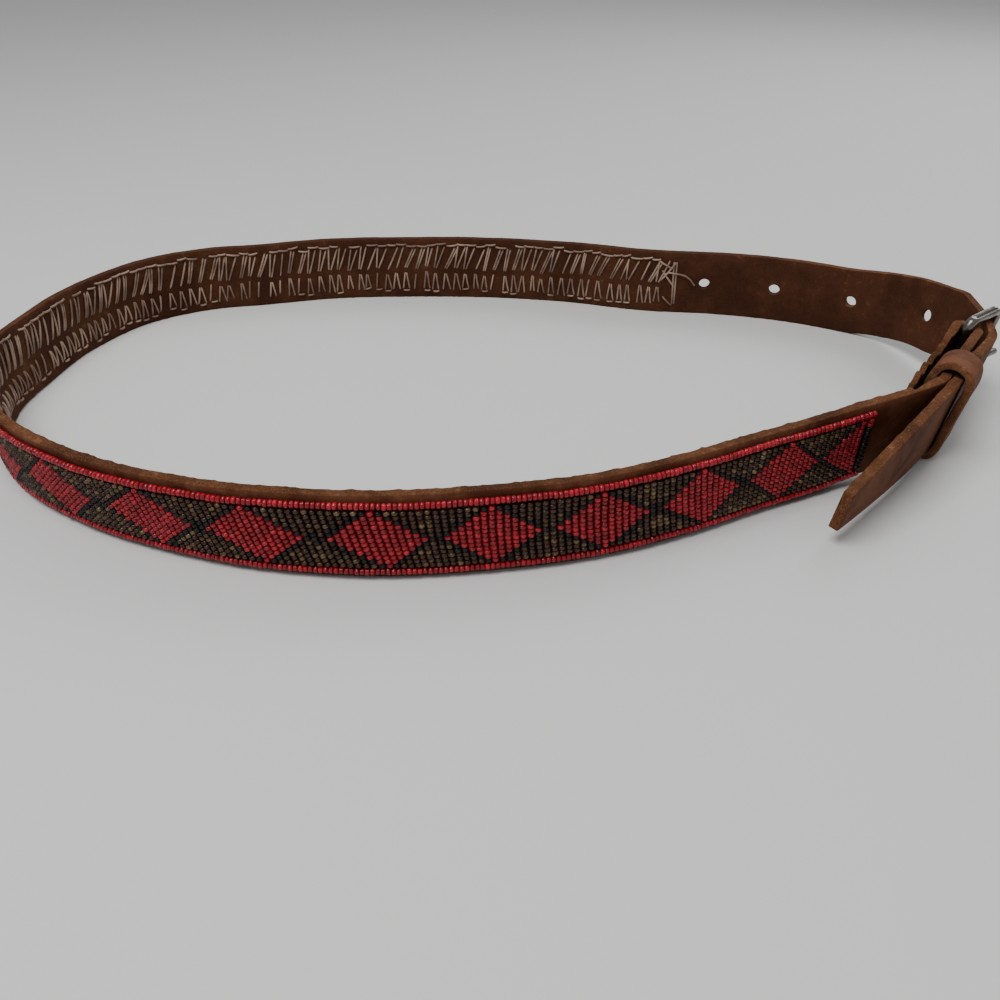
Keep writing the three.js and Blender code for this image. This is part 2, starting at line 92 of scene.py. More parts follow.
# The heel bar's place and turn set the buckle's own axes: along the strap, outward and up.
heel_at = np.array([0.1506871, -0.0048958, 0.0177113])
heel_heading, heel_lean = 55, -10
heel_turn = np.array(Matrix.Rotation(math.radians(180 + heel_heading), 3, "Z")
                     @ Matrix.Rotation(math.radians(heel_lean), 3, "X"))
heel_up = heel_turn @ np.array([0, 0, 1.0])
frame_length, frame_tilt, bar_half_depth = 0.0195, math.radians(14), 0.0017
lean_ease = 0.052
left_lean_most, left_lean_from, left_lean_to, left_lean_ease = math.radians(7.5), 0.170, 0.350, 0.090
flap_end, fold_straight = 0.046, 0.002
layer_out = 0.00355
tip_out = 0.00685
taper_length, taper_power, tip_width = 0.060, 1.6, 0.0125
keeper_near, keeper_far = 0.02725, 0.03875
loop_route = (
    (0.3467, -0.2323), (0.2958, -0.267), (0.2216, -0.3256), (0.1443, -0.3945), (0.0715, -0.4432),
    (-0.0133, -0.4731), (-0.1, -0.4843), (-0.1953, -0.4669), (-0.2705, -0.4287), (-0.3365, -0.377),
    (-0.4114, -0.2834), (-0.4636, -0.1608), (-0.4883, -0.0452), (-0.481, 0.095), (-0.465, 0.214),
    (-0.421, 0.348), (-0.357, 0.422), (-0.288, 0.452), (-0.203, 0.487), (-0.1, 0.497),
    (-0.012, 0.492), (0.082, 0.467), (0.176, 0.42), (0.262, 0.4), (0.35, 0.356),
    (0.426, 0.276), (0.4515, 0.209), (0.4647, 0.142),
)


def unit(rows):
    """Each row scaled to the length 1."""
    return rows / np.linalg.norm(rows, axis=1, keepdims=True)


def smooth_run(points, step=None, shares=None, closed=False, samples=2000):
    """Places along a smooth curve through points, evenly spaced, the way there, and its length."""
    points = np.array(points, float)
    count = len(points)
    spans = count if closed else count - 1
    if closed:
        padded = points[np.arange(-1, count + 2) % count]
    else:
        padded = np.vstack([2 * points[0] - points[1], points, 2 * points[-1] - points[-2]])

    def place(t):
        spot = np.clip(t, 0, 1) * spans
        i = np.minimum(spot.astype(int), spans - 1)
        w = (spot - i)[:, None]
        a, b, c, d = (padded[i + k] for k in range(4))
        ab, bc, cd = (np.sqrt(np.linalg.norm(v, axis=1))[:, None] for v in (b - a, c - b, d - c))
        start = ((b - a) / ab - (c - a) / (ab + bc) + (c - b) / bc) * bc
        end = ((c - b) / bc - (d - b) / (bc + cd) + (d - c) / cd) * bc
        return b + start * w + (3 * (c - b) - 2 * start - end) * w**2 + (2 * (b - c) + start + end) * w**3

    t = np.linspace(0, 1, samples + 1)
    run = np.append(0, np.cumsum(np.linalg.norm(np.diff(place(t), axis=0), axis=1)))
    if shares is None:
        shares = np.linspace(0, 1, max(3, round(run[-1] / step) + 1))
    t = np.interp(np.asarray(shares) * run[-1], run, t)
    way = place(np.minimum(t + 1e-4, 1)) - place(np.maximum(t - 1e-4, 0))
    return place(t), unit(way), run[-1]


def from_heel(points):
    """Places given along the strap from the heel bar, outward and up, as places in the scene."""
    return heel_at + np.asarray(points, float) @ heel_turn.T


def flat_run(rows):
    """Places at the heel bar's middle height, from rows of along and out."""
    return np.array([(along, out, 0.0) for along, out in rows])


flap = flat_run([(along, -layer_out) for along in np.linspace(flap_end, fold_straight, 64)])
fold = flat_run([(-layer_out * math.sin(a), -layer_out * math.cos(a)) for a in np.linspace(0, math.pi, 25)])
past_keeper, lead_in = 0.002, 0.005
near_end = (keeper_far + past_keeper, layer_out)
near_straight = flat_run([(along, layer_out) for along in np.linspace(fold_straight, near_end[0], 20)])
# The free end comes up behind the frame's outer bar and crosses over the fold to the outside.
bar_along, bar_out = -frame_length * math.cos(frame_tilt), frame_length * math.sin(frame_tilt)
bar_gap, bend_room = 0.0003, 0.0016
behind_bar = bar_out - bar_half_depth - bar_gap - strap_thickness / 2 - bend_room
crossing_rows = flat_run([
    (bar_along - 0.009, behind_bar - 0.007), (bar_along, behind_bar),
    (bar_along * 0.6, behind_bar + (tip_out - behind_bar) * 0.6),
    (-layer_out, tip_out + 0.0006), (layer_out, tip_out + 0.0012),
    (keeper_near / 2, tip_out + 0.0006), (keeper_near, tip_out),
])
crossing, _, _ = smooth_run(crossing_rows, step=0.00125)
tip_free, tip_set, tip_drop = 0.062, -0.0075, 0.0065
tip_rows = [(keeper_near, tip_out, 0), (keeper_far, tip_out, 0)] + [
    (keeper_far + along * tip_free, tip_out + out * tip_set, -down * tip_drop)
    for along, out, down in ((0.25, 0.14, 0.1), (0.5, 0.38, 0.34), (0.75, 0.68, 0.67), (1, 1, 1))
]
tip, _, _ = smooth_run(tip_rows, step=0.002)


def rest_height(up, out):
    """How high the strap's core lies over the floor when its lower edge rests there."""
    return strap_width / 2 * up[:, 2] + strap_thickness / 2 * np.abs(out[:, 2])


near_point, before_near = from_heel([near_end + (0,), (near_end[0] - lead_in, near_end[1], 0)])
far_point, after_far = from_heel(smooth_run(crossing_rows, step=0.0025)[0][:2])
route = [(x * loop_across - loop_middle[0], y * loop_deep - loop_middle[1], 0) for x, y in loop_route]
plan = np.array([before_near, near_point] + route + [far_point, after_far])
plan[:, 2] = 0
lead = np.linalg.norm(plan[1] - plan[0])
trail = np.linalg.norm(plan[-1] - plan[-2])
_, _, plan_length = smooth_run(plan, step=0.1)
free_length = plan_length - lead - trail
free_run = np.linspace(0, free_length, round(free_length / 0.0012) + 1)[1:-1]
loop, loop_way, _ = smooth_run(plan, shares=(lead + free_run) / plan_length)


def eased(run, length):
    """Falls smoothly from 1 at no run to 0 at this length."""
    share = np.clip(run / length, 0, 1)
    return 1 - share * share * (3 - 2 * share)


from_near, from_far = eased(free_run, lean_ease), eased(free_length - free_run, lean_ease)
ease = (from_near + from_far)[:, None]
# The loop's left part leans outward a little; the rest stands upright away from the buckle.
left_lean = left_lean_most * (1 - eased(free_run - left_lean_from, left_lean_ease))
left_lean *= eased(free_run - left_lean_to, left_lean_ease)
flat_out = unit(np.cross([0, 0, 1.0], loop_way))
loop_up = unit(np.array([0, 0, 1.0]) + flat_out * np.tan(left_lean)[:, None])
loop_up = unit(loop_up * (1 - ease) + heel_up * ease)
loop_out = unit(np.cross(loop_up, loop_way))
seat_out = unit(np.cross(heel_up, loop_way))
anchor = np.where(from_near > 0, near_point[2], far_point[2])
seat_rest = rest_height(np.tile(heel_up, (len(loop), 1)), seat_out)
loop[:, 2] = rest_height(loop_up, loop_out) + ease[:, 0] * (anchor - seat_rest)

inner = from_heel(np.vstack([flap, fold, near_straight]))
outer = from_heel(np.vstack([crossing, tip[1:]]))
strap_at = np.vstack([inner, loop, outer])
strap_up = np.vstack([np.tile(heel_up, (len(inner), 1)), loop_up, np.tile(heel_up, (len(outer), 1))])
strap_way = unit(np.vstack([
    strap_at[1:2] - strap_at[:1], strap_at[2:] - strap_at[:-2], strap_at[-1:] - strap_at[-2:-1],
]))
strap_out = unit(np.cross(strap_up, strap_way))
strap_run = np.append(0, np.cumsum(np.linalg.norm(np.diff(strap_at, axis=0), axis=1)))
strap_run -= strap_run[len(flap) + len(fold) - 1]


def read_off(rows, run):
    """The strap's rows read off at these runs."""
    return np.stack([np.interp(run, strap_run, rows[:, k]) for k in range(3)], axis=1)


def on_strap(run, high=0.0, out=0.0):
    """Places on the strap: run along it from the fold, high from its middle line, out from its core."""
    run = np.atleast_1d(np.asarray(run, float))
    at, up, outward = (read_off(rows, run) for rows in (strap_at, strap_up, strap_out))
    return at + up * np.reshape(high, (-1, 1)) + outward * np.reshape(out, (-1, 1))


def strap_axes(run):
    """Unit directions along the strap, outward and up at these runs."""
    return [unit(read_off(rows, run)) for rows in (strap_way, strap_out, strap_up)]


def soft_wobble(run, size, wave, seed):
    """A slow uneven drift along the belt, from four waves of which the longest is wave long."""
    rng = np.random.default_rng(seed)
    drift = np.zeros_like(run)
    for k in range(1, 5):
        drift += np.sin(2 * math.pi * run * k / wave + rng.uniform(0, 2 * math.pi)) / k
    return drift * size / 1.6


def only(piece):
    """Selects this piece alone and makes it the active one."""
    bpy.ops.object.select_all(action="DESELECT")
    piece.select_set(True)
    bpy.context.view_layer.objects.active = piece


def apply_all(piece):
    """Turns a piece's modifiers into mesh, in their order."""
    only(piece)
    for modifier in list(piece.modifiers):
        bpy.ops.object.modifier_apply(modifier=modifier.name)


def strip_of_leather(name, at, side, low, high, rows):
    """A strip of faces laid along at, from low to high in the direction side."""
    bpy.ops.object.select_all(action="DESELECT")
    bpy.ops.mesh.primitive_grid_add(x_subdivisions=len(at) - 1, y_subdivisions=rows, size=2)
    strip = bpy.context.object
    strip.name = strip.data.name = name
    spots = np.empty(len(strip.data.vertices) * 3)
    strip.data.vertices.foreach_get("co", spots)
    spots = spots.reshape(-1, 3)
    step = np.rint((spots[:, 0] + 1) / 2 * (len(at) - 1)).astype(int)
    share = (1 - spots[:, 1]) / 2
    place = at[step] + side[step] * (low[step] + (high[step] - low[step]) * share)[:, None]
    strip.data.vertices.foreach_set("co", place.ravel())
    strip.data.update()
    return strip


def make_leather(strip, finishes, thickness, rounding):
    """Gives a strip its outer, inner and edge finishes, its thickness and slightly round edges."""
    for finish in finishes:
        strip.data.materials.append(finish)
    wall = strip.modifiers.new("wall", "SOLIDIFY")
    wall.thickness, wall.offset, wall.use_even_offset = thickness, 0, True
    wall.material_offset, wall.material_offset_rim = 1, 2
    soft_edge = strip.modifiers.new("soft_edge", "BEVEL")
    soft_edge.width, soft_edge.segments, soft_edge.limit_method = 0.0004, rounding, "ANGLE"
    soft_edge.angle_limit = math.radians(40)
    apply_all(strip)


def new_group(name, inputs, outputs):
    """An empty shader node group with named sockets, and its two end nodes."""
    tree = bpy.data.node_groups.new(name, "ShaderNodeTree")
    for label, kind, value in inputs:
        socket = tree.interface.new_socket(name=label, in_out="INPUT", socket_type=kind)
        socket.default_value = value
    for label, kind in outputs:
        tree.interface.new_socket(name=label, in_out="OUTPUT", socket_type=kind)
    return tree, tree.nodes.new("NodeGroupInput"), tree.nodes.new("NodeGroupOutput")


def feed(tree, socket, value):
    """Links a socket from another socket, or sets its value."""
    if isinstance(value, bpy.types.NodeSocket):
        tree.links.new(value, socket)
    else:
        socket.default_value = value


def node(tree, kind, settings=None, **inputs):
    """A node with its settings, and its inputs given as values or as sockets to link from."""
    made = tree.nodes.new(kind)
    for key, value in (settings or {}).items():
        setattr(made, key, value)
    for key, value in inputs.items():
        label = int(key[1:]) if key[0] == "i" and key[1:].isdigit() else key.replace("_", " ")
        feed(tree, made.inputs[label], value)
    return made


def grainy(tree, place, scale, detail, **more):
    """A noise of this scale at a place."""
    return node(tree, "ShaderNodeTexNoise", Vector=place, Scale=scale, Detail=detail, **more).outputs["Fac"]


def stepped(tree, value, low, high):
    """A mask that rises from 0 to 1 as value goes from low to high."""
    made = node(tree, "ShaderNodeMapRange", {"interpolation_type": "SMOOTHSTEP"}, Value=value)
    made.inputs["From Min"].default_value = low
    made.inputs["From Max"].default_value = high
    return made.outputs["Result"]


def mixed(tree, mask, first, second):
    """One colour over another by a mask."""
    made = node(tree, "ShaderNodeMix", {"data_type": "RGBA"})
    for socket, value in ((made.inputs[0], mask), (made.inputs[6], first), (made.inputs[7], second)):
        feed(tree, socket, value)
    return made.outputs[2]


def sums(tree, how, first, second):
    """One step of arithmetic on two values."""
    return node(tree, "ShaderNodeMath", {"operation": how}, i0=first, i1=second).outputs[0]


def new_material(name):
    """A new material, its node tree and its shader."""
    material = bpy.data.materials.new(name)
    material.use_nodes = True
    return material, material.node_tree, material.node_tree.nodes["Principled BSDF"]


# Leather's pattern: slow clouding, fine pebbled grain, and loose fibres where it is cut or rough.
hide, hide_in, hide_out = new_group(
    "hide_pattern",
    (("Dark", "NodeSocketColor", (0.03, 0.015, 0.01, 1)), ("Middle", "NodeSocketColor", (0.1, 0.05, 0.03, 1)),
     ("Pale", "NodeSocketColor", (0.2, 0.1, 0.06, 1)), ("Grain Size", "NodeSocketFloat", 900.0),
     ("Fibre", "NodeSocketFloat", 0.3)),
    (("Color", "NodeSocketColor"), ("Height", "NodeSocketFloat"), ("Roughness", "NodeSocketFloat")),
)
hide_at = node(hide, "ShaderNodeTexCoord").outputs["Object"]
clouding = grainy(hide, hide_at, 55.0, 5.0, Roughness=0.62)
streaks = grainy(hide, hide_at, 340.0, 4.0, Roughness=0.7)
fibres = grainy(hide, hide_at, 2600.0, 3.0, Roughness=0.8)
pebble = node(hide, "ShaderNodeTexVoronoi", {"feature": "SMOOTH_F1"}, Vector=hide_at,
              Scale=hide_in.outputs["Grain Size"]).outputs["Distance"]
cloud_mask = stepped(hide, clouding, 0.36, 0.60)
hide_color = mixed(hide, cloud_mask, hide_in.outputs["Dark"], hide_in.outputs["Middle"])
pale_mask = sums(hide, "MULTIPLY", stepped(hide, streaks, 0.50, 0.72), stepped(hide, clouding, 0.40, 0.62))
hide_color = mixed(hide, pale_mask, hide_color, hide_in.outputs["Pale"])
fibre_mask = sums(hide, "MULTIPLY", stepped(hide, fibres, 0.52, 0.70), hide_in.outputs["Fibre"])
hide_color = mixed(hide, fibre_mask, hide_color, hide_in.outputs["Pale"])
pit_mask = sums(hide, "MULTIPLY", stepped(hide, fibres, 0.47, 0.33), hide_in.outputs["Fibre"])
hide_color = mixed(hide, pit_mask, hide_color, hide_in.outputs["Dark"])
hide.links.new(hide_color, hide_out.inputs["Color"])
rough_fibre = sums(hide, "MULTIPLY", fibres, hide_in.outputs["Fibre"])
pebble_height, fibre_height = sums(hide, "MULTIPLY", pebble, 0.35), sums(hide, "MULTIPLY", rough_fibre, 1.6)
hide_height = sums(hide, "ADD", pebble_height, fibre_height)
hide_height = sums(hide, "ADD", hide_height, sums(hide, "MULTIPLY", streaks, 0.5))
hide.links.new(hide_height, hide_out.inputs["Height"])
hide_rough = sums(hide, "ADD", sums(hide, "MULTIPLY", streaks, 0.35), sums(hide, "MULTIPLY", fibre_mask, 0.2))
hide.links.new(hide_rough, hide_out.inputs["Roughness"])


def leather(name, dark, middle, pale, grain_size, fibre, rough, relief, shine=0.12):
    """Leather in three browns: fibre shows its loose fibres, relief the depth of its grain."""
    material, tree, shader = new_material(name)
    pattern = node(tree, "ShaderNodeGroup", {"node_tree": hide})
    for label, value in (("Dark", dark), ("Middle", middle), ("Pale", pale)):
        pattern.inputs[label].default_value = (*value, 1)
    pattern.inputs["Grain Size"].default_value = grain_size
    pattern.inputs["Fibre"].default_value = fibre
    tree.links.new(pattern.outputs["Color"], shader.inputs["Base Color"])
    tree.links.new(sums(tree, "ADD", pattern.outputs["Roughness"], rough), shader.inputs["Roughness"])
    bump = node(tree, "ShaderNodeBump", Strength=relief, Distance=0.0004, Height=pattern.outputs["Height"])
    tree.links.new(bump.outputs["Normal"], shader.inputs["Normal"])
    shader.inputs["Specular IOR Level"].default_value = shine
    return material


grain_side = leather(
    "grain_side", dark=(0.060, 0.017, 0.007), middle=(0.125, 0.045, 0.021), pale=(0.180, 0.078, 0.040),
    grain_size=900.0, fibre=0.25, rough=0.55, relief=0.35, shine=0.10)
flesh_side = leather(
    "flesh_side", dark=(0.040, 0.0125, 0.0055), middle=(0.066, 0.0220, 0.0090), pale=(0.104, 0.044, 0.021),
    grain_size=700.0, fibre=0.6, rough=0.62, relief=0.6)
cut_edge = leather(
    "cut_edge", dark=(0.060, 0.020, 0.008), middle=(0.132, 0.048, 0.019), pale=(0.270, 0.130, 0.062),
    grain_size=1200.0, fibre=0.9, rough=0.66, relief=0.9)

# The far side's edges, away from the buckle, are coloured darker.
edge_tree = cut_edge.node_tree
edge_color = edge_tree.nodes["Principled BSDF"].inputs["Base Color"]
edge_place = node(edge_tree, "ShaderNodeTexCoord").outputs["Object"]
edge_place = node(edge_tree, "ShaderNodeSeparateXYZ", Vector=edge_place)
far_side = stepped(edge_tree, edge_place.outputs["Y"], -0.02, 0.05)
at_buckle = stepped(edge_tree, edge_place.outputs["X"], 0.08, 0.14)
far_edge_darkening = sums(edge_tree, "MULTIPLY", far_side, sums(edge_tree, "SUBTRACT", 1.0, at_buckle))
far_edge_darkening = sums(edge_tree, "MULTIPLY", far_edge_darkening, 0.8)
plain_edge = edge_color.links[0].from_socket
edge_tree.links.new(mixed(edge_tree, far_edge_darkening, plain_edge, (0.055, 0.020, 0.010, 1)), edge_color)

tip_taper = np.clip((strap_run - (strap_run[-1] - taper_length)) / taper_length, 0, 1) ** taper_power
half_width = (strap_width - (strap_width - tip_width) * tip_taper) / 2
trim_high = soft_wobble(strap_run, 0.00010, 0.060, 3)
trim_low = np.abs(soft_wobble(strap_run, 0.00008, 0.075, 4))
strap = strip_of_leather(
    "leather_strap", strap_at, strap_up, low=trim_low - half_width, high=half_width + trim_high, rows=10)
make_leather(strap, (grain_side, flesh_side, cut_edge), strap_thickness, rounding=2)

# The knife left the edges fuzzy: each point near a cut edge moves a little, most on the flesh side.
# The folded-back end is trimmed roughly, with a wavy upper edge, and pared thin.
stations_tree = kdtree.KDTree(len(strap_at))
for k, spot in enumerate(strap_at):
    stations_tree.insert(spot, k)
stations_tree.balance()
fuzz_reach, fuzz_lift, clump_lift, fuzz_push = 0.0012, 0.00017, 0.00012, 0.00026
flap_trim_from, flap_thin_from, flap_trim_ease = -0.010, -0.012, 0.010
flap_cut, flap_wave, flap_ripple, flap_thinned = 0.0020, 0.0019, 0.00050, 0.40
for vertex in strap.data.vertices:
    k = stations_tree.find(vertex.co)[1]
    run, off = strap_run[k], np.array(vertex.co) - strap_at[k]
    high, out = off @ strap_up[k], off @ strap_out[k]
    lift = push = 0.0
    if half_width[k] - abs(high) < fuzz_reach:
        fuzz = noise.noise(vertex.co * 900) + 0.6 * noise.noise(vertex.co * 2300)
        clump = noise.noise(vertex.co * 260)
        flesh = 1.0 if out < -0.0004 else 0.3
        lift = (fuzz_lift * fuzz + clump_lift * clump) * flesh
        lift = lift if high > 0 else -abs(lift) / 2
        push = fuzz_push * max(0.0, fuzz + clump) * flesh * (-1 if out < 0 else 0.2)
    if run < flap_trim_from and high > 0:
        wave = 0.5 + 0.5 * math.sin(run * 760) + 0.5 * noise.noise(Vector((run * 420, 0, 3.0)))
        share = (high / half_width[k]) ** 2 * min(1.0, (flap_trim_from - run) / flap_trim_ease)
        lift -= (flap_cut + flap_wave * wave) * share
        push += flap_ripple * noise.noise(Vector((run * 300, 5.0, 0))) * share
    if run < flap_thin_from:
        push -= out * flap_thinned * min(1.0, (flap_thin_from - run) / flap_trim_ease)
    vertex.co += Vector(strap_up[k]) * lift + Vector(strap_out[k]) * push
strap.data.update()

# The punched holes, the slot for the tongue in the fold and the worn hole round the tongue are
# cut out in one go.
ring_end, tongue_end = np.array([0.000906, 0.003121, 0]), np.array([-0.021348, 0.009583, 0])
# The hole beside the buckle is punched and worn at a slant.
slanted_hole, slant_back, slant_down = 0.80049, 0.55, 0.45
hole_runs = (0.83559, slanted_hole, 0.76599, 0.73569, 0.70779)
punch_radius, punch_depth, rod_punch_radius = 0.0022, 0.009, 0.0015
slot_size = (0.0099, 0.0099, 0.0034, 1)
cutters = []
for hole_run in hole_runs:
    way_there, out_there, up_there = strap_axes(np.array([hole_run]))
    slant = slant_back if hole_run == slanted_hole else 0.0
    hole_axis = Vector(out_there[0] - way_there[0] * slant - up_there[0] * slant * slant_down)
    bpy.ops.mesh.primitive_cylinder_add(
        vertices=28, radius=punch_radius, depth=punch_depth, location=on_strap(hole_run)[0],
        rotation=hole_axis.to_track_quat("Z", "Y").to_euler())
    cutters.append(bpy.context.object)
bpy.ops.mesh.primitive_cube_add(size=1)
slot_cutter = bpy.context.object
slot_cutter.matrix_world = (
    Matrix.Translation(Vector(heel_at)) @ Matrix(heel_turn.tolist()).to_4x4() @ Matrix.Diagonal(slot_size)
)
cutters.append(slot_cutter)
rod_way = Vector(from_heel(tongue_end)) - Vector(from_heel(ring_end))
bpy.ops.mesh.primitive_cylinder_add(
    vertices=20, radius=rod_punch_radius, depth=rod_way.length,
    location=(Vector(from_heel(tongue_end)) + Vector(from_heel(ring_end))) / 2,
    rotation=rod_way.to_track_quat("Z", "Y").to_euler())
cutters.append(bpy.context.object)
for cutter in cutters:
    cutter.data.materials.append(cut_edge)
    punch = strap.modifiers.new("punch", "BOOLEAN")
    punch.operation, punch.solver, punch.object = "DIFFERENCE", "EXACT", cutter
    punch.material_mode = "TRANSFER"
apply_all(strap)
for cutter in cutters:
    bpy.data.objects.remove(cutter, do_unlink=True)
only(strap)
bpy.ops.object.shade_smooth_by_angle(angle=math.radians(42))
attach(strap, "root")
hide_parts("strap")


# Bead panel
# Columns of thirteen seed beads sewn on the strap's outer face in a lattice of red diamonds with
# black outlines on lustrous bronze, inside a single row of red beads that turns at both ends.
bead_size, bead_length, border_pitch = 0.0021, 0.00135, 0.00135
panel_from, panel_to = 0.0676, 0.6974
panel_half = 0.0112
field_half = 0.0088
column_beads = 13
column_pitch = 0.00198
repeat_columns = 15
diamonds = (
    # column of its middle, run of its middle, lean of its columns from bottom to top
    (0, 0.0712, 0.0), (14, 0.0970, -0.0026), (29, 0.1255, 0.0024), (44, 0.1557, 0.0012),
    (59, 0.1854, 0.0010), (74, 0.2142, 0.0044), (90, 0.2468, 0.0052), (105, 0.2770, 0.0046),
    (121, 0.3095, 0.0060), (136, 0.3395, 0.0040),
)

bpy.ops.object.select_all(action="DESELECT")
bpy.ops.mesh.primitive_cylinder_add(vertices=9, radius=0.5, depth=1, end_fill_type="NGON")
one_bead = bpy.context.object
bpy.ops.object.mode_set(mode="EDIT")
bpy.ops.mesh.select_all(action="DESELECT")
bpy.ops.object.mode_set(mode="OBJECT")
for edge in one_bead.data.edges:
    a, b = (one_bead.data.vertices[i].co.z for i in edge.vertices)
    edge.select = abs(a - b) < 1e-6
bpy.ops.object.mode_set(mode="EDIT")
bpy.ops.mesh.select_mode(type="EDGE")
bpy.ops.mesh.bevel(offset=0.2, segments=1, affect="EDGES")
bpy.ops.object.mode_set(mode="OBJECT")
bead_spots = np.array([vertex.co[:] for vertex in one_bead.data.vertices])
bead_faces = [tuple(face.vertices) for face in one_bead.data.polygons]
bpy.data.objects.remove(one_bead, do_unlink=True)


def strung_beads(name, runs, highs, thick, long, along_belt, seed, lean=0.0):
    """Copies of the bead laid on the strap's face, their holes along the belt or across it."""
    # No two beads are quite alike in thickness, length, tilt, turn and place.
    rng = np.random.default_rng(seed)
    count = len(runs)
    thick = thick * rng.normal(1, 0.03, count).clip(0.92, 1.06)
    long = long * rng.normal(1, 0.04, count).clip(0.90, 1.04)
    way, out, up = strap_axes(runs)
    tilt = rng.normal(0, 0.05, count)[:, None] + np.reshape(lean, (-1, 1))
    roll = rng.normal(0, 0.05, count)[:, None]
    hole, side = (way, up) if along_belt else (up, way)
    hole = unit(hole + side * tilt + out * roll)
    face = unit(out - hole * np.sum(out * hole, axis=1, keepdims=True))
    spin = rng.uniform(0, 2 * math.pi, count)[:, None]
    # These two and the hole make a right-handed set, so that the faces keep turning outward.
    one = np.cross(face, hole) * np.cos(spin) + face * np.sin(spin)
    two = np.cross(hole, one)
    heights = strap_thickness / 2 + thick / 2 + rng.uniform(0, 0.00012, count)
    centres = on_strap(runs, highs + rng.normal(0, 0.00003, count), heights)
    spots = (centres[:, None, :]
             + (one * thick[:, None])[:, None, :] * bead_spots[None, :, :1]
             + (two * thick[:, None])[:, None, :] * bead_spots[None, :, 1:2]
             + (hole * long[:, None])[:, None, :] * bead_spots[None, :, 2:3])
    faces = [tuple(i + k * len(bead_spots) for i in row) for k in range(count) for row in bead_faces]
    mesh = bpy.data.meshes.new(name)
    mesh.from_pydata(spots.reshape(-1, 3).tolist(), [], faces)
    tone = mesh.attributes.new("tone", "FLOAT", "POINT")
    tone.data.foreach_set("value", np.repeat(rng.uniform(0, 1, count), len(bead_spots)))
    beads = bpy.data.objects.new(name, mesh)
    bpy.context.scene.collection.objects.link(beads)
    only(beads)
    bpy.ops.object.shade_smooth_by_angle(angle=math.radians(75))
    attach(beads, "root")
    return beads


def glass(name, colors, rough, metal, coat):
    """Bead glass whose colour steps from bead to bead with its tone."""
    material, tree, shader = new_material(name)
    tone = node(tree, "ShaderNodeAttribute", {"attribute_name": "tone"}).outputs["Fac"]
    color = (*colors[0], 1)
    for k, other in enumerate(colors[1:]):
        low = (k + 0.6) / len(colors)
        color = mixed(tree, stepped(tree, tone, low, low + 0.3 / len(colors)), color, (*other, 1))
    swirl = grainy(tree, node(tree, "ShaderNodeTexCoord").outputs["Object"], 900.0, 2.0)
    dull = mixed(tree, stepped(tree, swirl, 0.35, 0.75), color, (*[c * 0.6 for c in colors[0]], 1))
    tree.links.new(dull, shader.inputs["Base Color"])
    tree.links.new(sums(tree, "ADD", sums(tree, "MULTIPLY", swirl, 0.2), rough), shader.inputs["Roughness"])
    shader.inputs["Metallic"].default_value = metal
    shader.inputs["Coat Weight"].default_value = coat
    shader.inputs["Coat Roughness"].default_value = 0.12
    shader.inputs["Specular IOR Level"].default_value = 0.3
    return material


red_glass = glass(
    "red_glass",
    ((0.28, 0.004, 0.012), (0.33, 0.007, 0.017), (0.22, 0.003, 0.010), (0.42, 0.014, 0.026)),
    rough=0.20, metal=0.0, coat=0.24)
bronze_glass = glass(
    "bronze_glass",
    ((0.046, 0.017, 0.007), (0.068, 0.029, 0.012), (0.17, 0.110, 0.050), (0.056, 0.030, 0.016)),
    rough=0.20, metal=0.45, coat=0.30)
black_glass = glass(
    "black_glass",
    ((0.008, 0.0035, 0.0030), (0.014, 0.006, 0.005), (0.005, 0.002, 0.002)),
    rough=0.30, metal=0.0, coat=0.03)

# The border rows run above and below the field, with their holes along the belt.
snug = 0.97
for row_name, row_side, row_seed in (("upper", 1, 11), ("lower", -1, 12)):
    row_runs = np.arange(panel_from + border_pitch / 2, panel_to, border_pitch)
    row_high = row_side * (panel_half - bead_size / 2) + soft_wobble(row_runs, 0.00012, 0.045, row_seed)
    row = strung_beads(f"red_border_{row_name}", row_runs, row_high, bead_size, border_pitch * snug,
                       along_belt=True, seed=row_seed)
    row.data.materials.append(red_glass)
    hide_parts(f"bead_row_{row_name}")

# A column of beads closes each end.
end_high = (np.arange(column_beads) + 0.5 - column_beads / 2) * (2 * field_half / column_beads)
# Painted shade: under this height the buckle end's column is black, where the free end shades it.
tip_shade_below = heel_at[2] + 0.0035
for end_name, end_run, end_seed in (
    ("buckle_end", panel_from + bead_size / 2, 13), ("hole_end", panel_to - bead_size / 2, 14),
):
    closing = strung_beads(f"red_border_{end_name}", np.full(column_beads, end_run), end_high,
                           bead_size, bead_length * snug, along_belt=False, seed=end_seed)
    closing.data.materials.append(red_glass)
    if end_name == "buckle_end":
        # Only the border's turn is red here; below it black glass stands in for the shade cast by the free
        # end: painted shade.
        closing.data.materials.append(black_glass)
        for face in closing.data.polygons:
            face.material_index = int(face.center.z < tip_shade_below)
    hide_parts(f"bead_row_{end_name}")

# The field's columns follow the diamonds, which are spaced a little unevenly by the sewing.
# A few columns stand before the first diamond's middle, at the plain pitch.
diamond_columns, diamond_runs, diamond_leans = (list(row) for row in zip(*diamonds))
diamond_columns.insert(0, -4)
diamond_runs.insert(0, diamond_runs[0] - 4 * column_pitch)
diamond_leans.insert(0, 0.0)
while diamond_runs[-1] < panel_to:
    diamond_columns.append(diamond_columns[-1] + repeat_columns)
    diamond_runs.append(diamond_runs[-1] + repeat_columns * column_pitch)
    diamond_leans.append(0.0010)
columns = np.arange(diamond_columns[0], diamond_columns[-1])
column_runs = np.interp(columns, diamond_columns, diamond_runs)
column_leans = np.interp(columns, diamond_columns, diamond_leans)
inside = (column_runs > panel_from + bead_size * 1.45) & (column_runs < panel_to - bead_size * 1.45)
columns, column_runs, column_leans = columns[inside], column_runs[inside], column_leans[inside]
from_middle = np.min(np.abs(columns[:, None] - np.array(diamond_columns[1:])[None, :]), axis=1)
reds = np.maximum(column_beads - 2 * from_middle, 0)
sewn = {"red": [], "black": [], "bronze": []}
column_bow = 0.0003
rng = np.random.default_rng(21)
